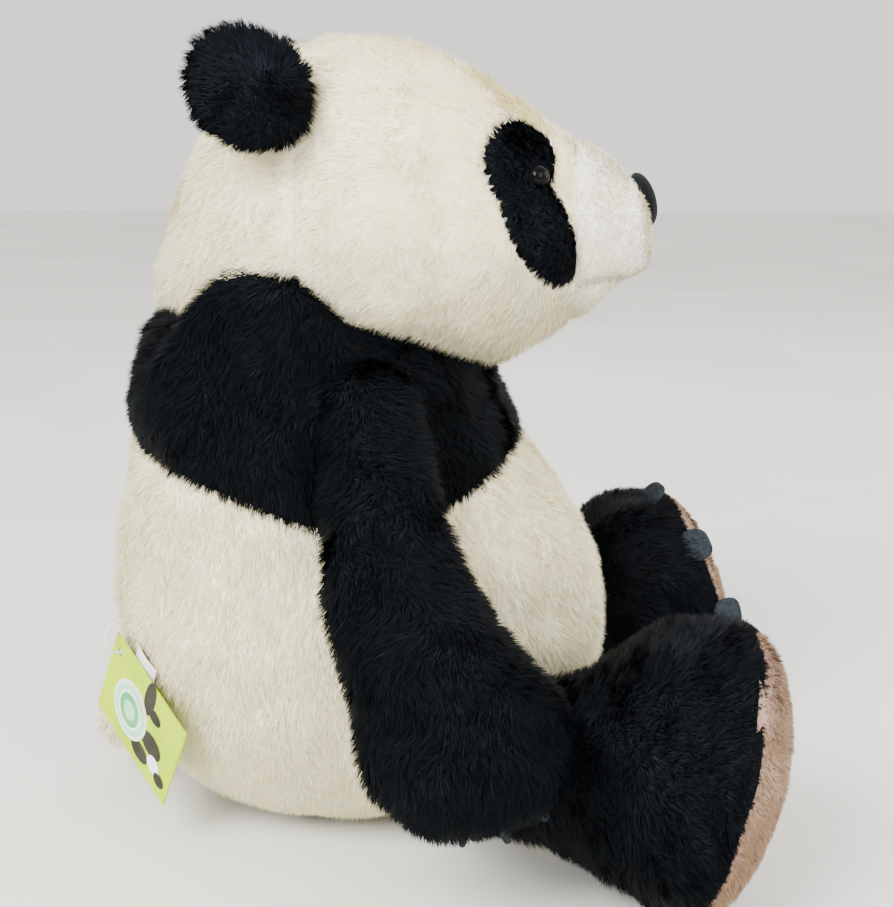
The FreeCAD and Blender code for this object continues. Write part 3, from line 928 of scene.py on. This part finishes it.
def make_arms():
    points, faces = arm_points()
    for side, sign in (("right", -1), ("left", 1)):
        placed = points if sign < 0 else mirror_x(points)
        skin = cut_piece("arm_skin_" + side, placed, faces, lambda p: p[:, 2] > 0)
        skin.data.materials.append(BLACK_SKIN)
        strands = pile("arm_pile_" + side, skin, 5.2, arm_nap, BLACK_TINTS, 410 + sign,
                       keep=lambda p: ~inside_torso(p, -2) | (p[:, 2] > 184), density=1.8)
        thicken(skin, CLOTH)
        place(skin, "arm_" + side, "arm_cover_" + side, slot="black_plush", fill=0.6)
        filler("arm_filling_" + side, arm_rows(), 5.0, (8, 8), "arm_" + side,
               "arm_stuffing_" + side, 0.6, flip=np.copy if sign < 0 else mirror_x)
        place(strands, "arm_" + side, slot="black_plush")
        root_node = "arm_root_stuffing_" + side
        root = ball("arm_root_ball_" + side, node_middle(root_node), (10.0, 10.0, 10.0))
        root.data.materials.append(FILLING)
        place(root, "shoulder_" + side, root_node, slot="fibre_fill", fill=0.6)


def leg_nap(points):
    return np.tile([0.0, -1.0, -0.35], (len(points), 1))


def make_legs():
    for side, rings, flip in (("right", RIGHT_LEG, np.copy), ("left", LEFT_LEG, mirror_x)):
        points, faces = form_mesh(leg_rows(rings), 90, 110, 8, 4)
        shift = 1.0 * waves(points, 50, 41) + 0.5 * waves(points, 24, 42)
        points = points + vertex_normals(points, faces) * shift[:, None]
        points[:, 2] = np.maximum(points[:, 2], 1.0)
        x, y, z, half_width, half_height, degrees, tilt = rings[-1]
        across, upright, ahead = foot_axes(degrees, tilt)
        rim = np.array([x, y, z])
        sole_rows = [row(rim - ahead * 1.5, across, upright, half_width - 1.2,
                         half_height - 1.2, 2.1),
                     row(rim, across, upright, half_width - 0.6, half_height - 0.6, 2.1)]
        dome_points, dome_faces = form_mesh(sole_rows, 3, 110, 0, SOLE_DOMES[side])
        dome_points[:, 2] = np.maximum(dome_points[:, 2], 1.0)

        def forward(p, flip=flip, rim=rim, ahead=ahead):
            return (flip(p) - rim) @ ahead

        skin = cut_piece("leg_skin_" + side, flip(points), faces,
                         lambda p: ~inside_torso(p, -9) & (forward(p) < 2.2))
        skin.data.materials.append(BLACK_SKIN)
        strands = pile("leg_pile_" + side, skin, 5.0, leg_nap, BLACK_TINTS, 510 + len(side),
                       keep=lambda p: ~inside_torso(p, -2) & (p[:, 2] > 3)
                       & (forward(p) < 0.9), density=1.9,
                       longer=lambda p: np.clip((3.0 - forward(p)) / 9.0, 0.35, 1.0))
        thicken(skin, CLOTH)
        place(skin, "leg_" + side, "leg_cover_" + side, slot="black_plush", fill=0.7)
        place(strands, "leg_" + side, slot="black_plush")
        filler("leg_filling_" + side, leg_rows(rings), 6.0, (4, 2), "leg_" + side,
               "leg_stuffing_" + side, 0.7, flip=flip)
        sole = cut_piece("sole_skin_" + side, flip(dome_points), dome_faces,
                         lambda p: forward(p) > -3.0)
        sole.data.materials.append(TAN_SKIN)
        velvet = pile("sole_pile_" + side, sole, 2.8, down, TAN_TINTS, 530 + len(side),
                      density=3.2, width=0.42,
                      keep=lambda p: (p[:, 2] > 2.5) & (forward(p) > 0.6),
                      longer=lambda p: np.clip(forward(p) / 4.0, 0.4, 1.0))
        thicken(sole, CLOTH)
        place(sole, "leg_" + side, "sole_" + side, slot="tan_plush", fill=0.6)
        place(velvet, "leg_" + side, slot="tan_plush")


# ---- claws ----
def claw(root, across, along, out, wide_half, length, curl):
    """One thick felt claw: a rounded tab whose tip curls over, away from out."""
    points, faces = [], []
    rows, wide = 16, 28
    half = length / 2
    for i in range(rows + 1):
        angle = math.pi * i / rows
        for j in range(wide):
            turn = 2 * math.pi * j / wide
            c, s = math.cos(turn), math.sin(turn)
            a = math.sin(angle) ** 0.6 * math.copysign(abs(c) ** 0.8, c) * wide_half
            b = math.sin(angle) ** 0.5 * math.copysign(abs(s) ** 0.8, s) * 1.9
            reach = half - half * math.cos(angle)
            points.append(root + across * a + along * (reach - 4) + out * b
                          - out * curl * (reach / length) ** 2)
    for i in range(rows):
        for j in range(wide):
            k = (j + 1) % wide
            faces.append((i * wide + j, i * wide + k, (i + 1) * wide + k, (i + 1) * wide + j))
    return points, faces


def claw_row(name, claws):
    """Several claws as one piece of felt."""
    points, faces = [], []
    for settings in claws:
        more_points, more_faces = claw(*settings)
        start = len(points)
        points.extend(more_points)
        faces.extend([tuple(start + index for index in face) for face in more_faces])
    piece = new_object(name, points, faces)
    bm = bmesh.new()
    bm.from_mesh(piece.data)
    outward(bm)
    bm.to_mesh(piece.data)
    bm.free()
    piece.data.polygons.foreach_set("use_smooth", [True] * len(piece.data.polygons))
    piece.data.materials.append(FELT)
    return piece


def make_claws():
    fingers = []
    for angle in np.radians(PAW_CLAWS):
        along = np.array([0, -math.sin(angle), -math.cos(angle)])
        fingers.append((PAW + along * 28.5, np.array([0.9, 0, 0]), along,
                        np.cross(along, (1.0, 0, 0)), 5.6, 12.0, 0.0))
    for side, rings, sign in (("right", RIGHT_LEG, 1.0), ("left", LEFT_LEG, -1.0)):
        x, y, z, half_width, half_height, degrees, tilt = rings[-1]
        across, upright, ahead = foot_axes(degrees, tilt)
        toes = []
        for angle, back, rise in TOE_CLAWS[side]:
            angle, rise = math.radians(angle), math.radians(rise)
            out = across * math.sin(angle) + upright * math.cos(angle)
            place_at = np.array([x, y, z]) + out * (half_width + 1.4) - ahead * back
            along = ahead * math.cos(rise) + out * math.sin(rise)
            proud = out * math.cos(rise) - ahead * math.sin(rise)
            toes.append((place_at, np.cross(out, ahead), along, proud, 8.6, 14.5, 2.5))
        flip = np.array([sign, 1.0, 1.0])
        for part, claws, body in (("toe", toes, "leg_"), ("paw", fingers, "arm_")):
            placed = [(*(part_of * flip for part_of in c[:4]), *c[4:]) for c in claws]
            piece = claw_row(part + "_felt_" + side, placed)
            place(piece, body + side, part + "_claws_" + side, slot="grey_felt")


# ---- tail ----
def make_tail():
    tail = ball("tail_skin", node_middle("tail") - np.array([0, 4, 0]), (18, 16, 13.5))
    tail.data.materials.append(CREAM_SKIN)
    strands = pile("tail_pile", tail, 6.0, lambda p: unit(p - node_middle("tail"))
                   + np.array([0, 0.6, -0.6]), CREAM_TINTS, 601, density=1.1)
    thicken(tail, 1.2)
    place(tail, "torso", "tail", slot="cream_plush", fill=0.6)
    place(strands, "torso", slot="cream_plush")


# ---- care label ----
def tag_axes():
    """The swing tag's outward, long and short directions, and its pinned corner."""
    out = unit(TAG_OUT)
    level = unit(np.cross((0, 0, 1), out))
    long_way = level * math.cos(TAG_TURN) - np.array([0, 0, 1]) * math.sin(TAG_TURN)
    short_way = np.cross(long_way, out)
    short_way = short_way * (-1.0 if short_way[2] > 0 else 1.0)
    return out, long_way, short_way, TAG_PIN - (long_way + short_way) * 6.0


def make_label():
    """A strip of satin sewn in behind the tag, its free side curling a little."""
    out, long_way, short_way, corner = tag_axes()
    width, length, across, down_by = 16.0, 22.0, 16, 22
    top = corner + long_way * 13.0 - short_way * 5.0 - out * 1.6
    points, faces = [], []
    for i in range(down_by + 1):
        for j in range(across + 1):
            u, v = j / across, i / down_by
            bulge = 0.9 * math.sin(math.pi * u) * (0.4 + 0.6 * (1 - v)) - 1.2 * v
            points.append(top + long_way * (width * u) + short_way * (length * v)
                          + out * bulge)
    for i in range(down_by):
        for j in range(across):
            a = i * (across + 1) + j
            faces.append((a, a + 1, a + across + 2, a + across + 1))
    label = new_object("care_label_strip", points, faces)
    label.data.materials.append(SATIN)
    thicken(label, 0.4)
    place(label, "torso", "care_label", slot="label_tape")


# ---- print on the swing tag ----
def spot(name, centre, u, v, a, b, out, material, body):
    """A thin printed oval lying on the card."""
    points, faces = [centre + out * 0.12], []
    for step in range(48):
        angle = math.pi * step / 24
        points.append(centre + u * (a * math.cos(angle)) + v * (b * math.sin(angle))
                      + out * 0.12)
        faces.append((0, step + 1, (step + 1) % 48 + 1))
    piece = new_object(name, points, faces, smooth=False)
    piece.data.materials.append(material)
    place(piece, body, slot="tag_card")


def make_print():
    out, long_way, short_way, corner = tag_axes()
    face = out * 0.85
    # along the card, down it, half length, half width
    marks = [(33, 7, 4, 9, GREY_INK), (39, 12, 5, 3, GREY_INK), (42, 26, 8, 5, GREY_INK),
             (47, 33, 5, 4, WHITE_INK), (53, 36, 4, 3, GREY_INK), (36, 36, 7, 4, GREY_INK)]
    for index, (along, down_by, a, b, ink) in enumerate(marks):
        at = corner + long_way * along + short_way * down_by + face
        spot(f"tag_mark_{index}", at, long_way, short_way, a, b, out * (1 + 0.3 * index), ink,
             "swing_tag")
    middle = node_middle("tag_sticker") + out * 0.25
    for index, (radius, ink) in enumerate([(11.5, PALE_GREEN_INK), (9.0, WHITE_INK),
                                           (7.8, GREEN_INK), (4.6, PALE_GREEN_INK)]):
        spot(f"sticker_ring_{index}", middle, long_way, short_way, radius, radius,
             out * (1 + 0.6 * index), ink, "swing_tag")


# ---- CAD pieces that keep their shape ----
KEPT = {
    "tag_fastener": NYLON,
    "eye_washer_right": NYLON, "eye_washer_left": NYLON,
    "pellet_bag": PELLET_CLOTH, "neck_stuffing": FILLING,
    "swing_tag": CARD, "tag_sticker": STICKER,
}


def paint_kept():
    for node, material in KEPT.items():
        piece = frame["nodes"][node]
        piece.data.materials.clear()
        piece.data.materials.append(material)


# ---- stage, light and camera ----
def make_stage():
    bpy.ops.mesh.primitive_plane_add(size=8.0, location=(0, 0, 0))
    floor = bpy.context.object
    floor.name = "floor"
    floor.data.materials.append(textured("floor_paper", linear(226, 226, 220),
                                         linear(236, 236, 230), 3, 60, 0.05, roughness=0.7))
    world = bpy.data.worlds.new("studio")
    bpy.context.scene.world = world
    world.use_nodes = True
    world.node_tree.nodes["Background"].inputs["Color"].default_value = linear(232, 230, 227)
    world.node_tree.nodes["Background"].inputs["Strength"].default_value = 1.7


def area_light(name, place_at, aim, size, power):
    data = bpy.data.lights.new(name, "AREA")
    data.size = size
    data.energy = power
    lamp = bpy.data.objects.new(name, data)
    bpy.context.scene.collection.objects.link(lamp)
    lamp.location = place_at
    lamp.rotation_euler = (Vector(aim) - Vector(place_at)).to_track_quat("-Z", "Y").to_euler()


def make_lights():
    middle = (0, -0.02, 0.16)
    area_light("window", (-1.1, 0.7, 1.15), middle, 0.9, 60)
    area_light("room", (-1.3, -0.9, 0.9), middle, 1.2, 22)
    area_light("front", (0.1, -1.5, 0.7), middle, 1.0, 12)
    area_light("rim", (1.2, -0.3, 1.1), middle, 0.8, 6)


def make_camera():
    azimuth = math.radians(272.0)
    pitch = math.radians(13.0)
    distance = 0.650
    target = Vector((0, -0.045, 0.154))
    back = Vector((math.sin(azimuth) * math.cos(pitch), -math.cos(azimuth) * math.cos(pitch),
                   math.sin(pitch)))
    data = bpy.data.cameras.new("camera")
    data.sensor_fit = "HORIZONTAL"
    data.sensor_width = 36.0
    data.lens = 59.5
    data.clip_start = 0.01
    camera = bpy.data.objects.new("camera", data)
    bpy.context.scene.collection.objects.link(camera)
    camera.location = target + back * distance
    camera.rotation_euler = (-back).to_track_quat("-Z", "Y").to_euler()
    bpy.context.scene.camera = camera


make_camera()
make_stage()
make_lights()
make_torso()
make_head()
make_face_trim()
make_mouth()
make_ears()
make_arms()
make_legs()
make_claws()
make_tail()
make_label()
make_print()
paint_kept()
